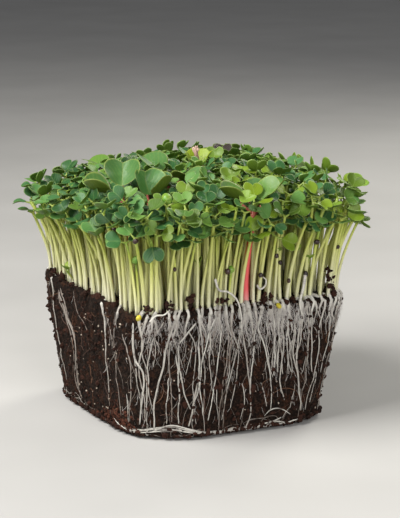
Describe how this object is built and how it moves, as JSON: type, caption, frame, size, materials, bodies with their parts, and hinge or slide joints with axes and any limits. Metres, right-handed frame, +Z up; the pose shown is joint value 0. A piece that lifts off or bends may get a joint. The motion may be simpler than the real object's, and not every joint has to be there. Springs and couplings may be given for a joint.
{
  "type": "microgreens block",
  "caption": "Free-standing moulded block of potting mix bound by white roots, with a dense stand of notched seed-leaf greens and pink-stemmed radish seedlings.",
  "frame": {"origin": "middle of the block's flat underside", "axes": "+Z up, -Y the front, where the roots show most, +X to the right seen from the front"},
  "size_m": [0.1301, 0.1405, 0.1185],
  "materials": {
    "potting_mix": "rough, fibrous dark potting mix",
    "root": "matt white root",
    "seedling": "satin green leaf on a pale stem",
    "radish_seedling": "satin green leaf on a pink stem"
  },
  "bodies": {
    "root": {"soil_block": "potting_mix", "root_net": "root", "clump_01": "seedling", "clump_02": "seedling", "clump_03": "seedling", "clump_04": "seedling", "clump_05": "seedling", "clump_06": "seedling", "clump_07": "seedling", "clump_08": "seedling", "clump_09": "seedling", "clump_10": "seedling", "clump_11": "seedling", "clump_12": "seedling", "clump_13": "seedling", "clump_14": "seedling", "clump_15": "seedling", "clump_16": "seedling", "clump_17": "seedling", "clump_18": "seedling", "clump_19": "seedling", "clump_20": "seedling", "clump_21": "seedling", "clump_22": "seedling", "clump_23": "seedling", "clump_24": "seedling", "clump_25": "seedling", "clump_26": "seedling", "clump_27": "seedling", "clump_28": "seedling", "clump_29": "seedling", "clump_30": "seedling", "clump_31": "seedling", "clump_32": "seedling", "clump_33": "seedling", "clump_34": "seedling", "clump_35": "seedling", "clump_36": "seedling", "clump_37": "seedling", "clump_38": "seedling", "clump_39": "seedling", "clump_40": "seedling", "clump_41": "seedling", "clump_42": "seedling", "clump_43": "seedling", "clump_44": "seedling", "clump_45": "seedling", "clump_46": "seedling", "clump_47": "seedling", "clump_48": "seedling", "clump_49": "seedling", "radish_front": "radish_seedling", "radish_front_tall": "radish_seedling", "radish_corner": "radish_seedling", "radish_corner_tall": "radish_seedling", "radish_round": "radish_seedling", "radish_crest": "radish_seedling", "radish_back": "radish_seedling", "radish_right": "radish_seedling"}
  },
  "joints": []
}
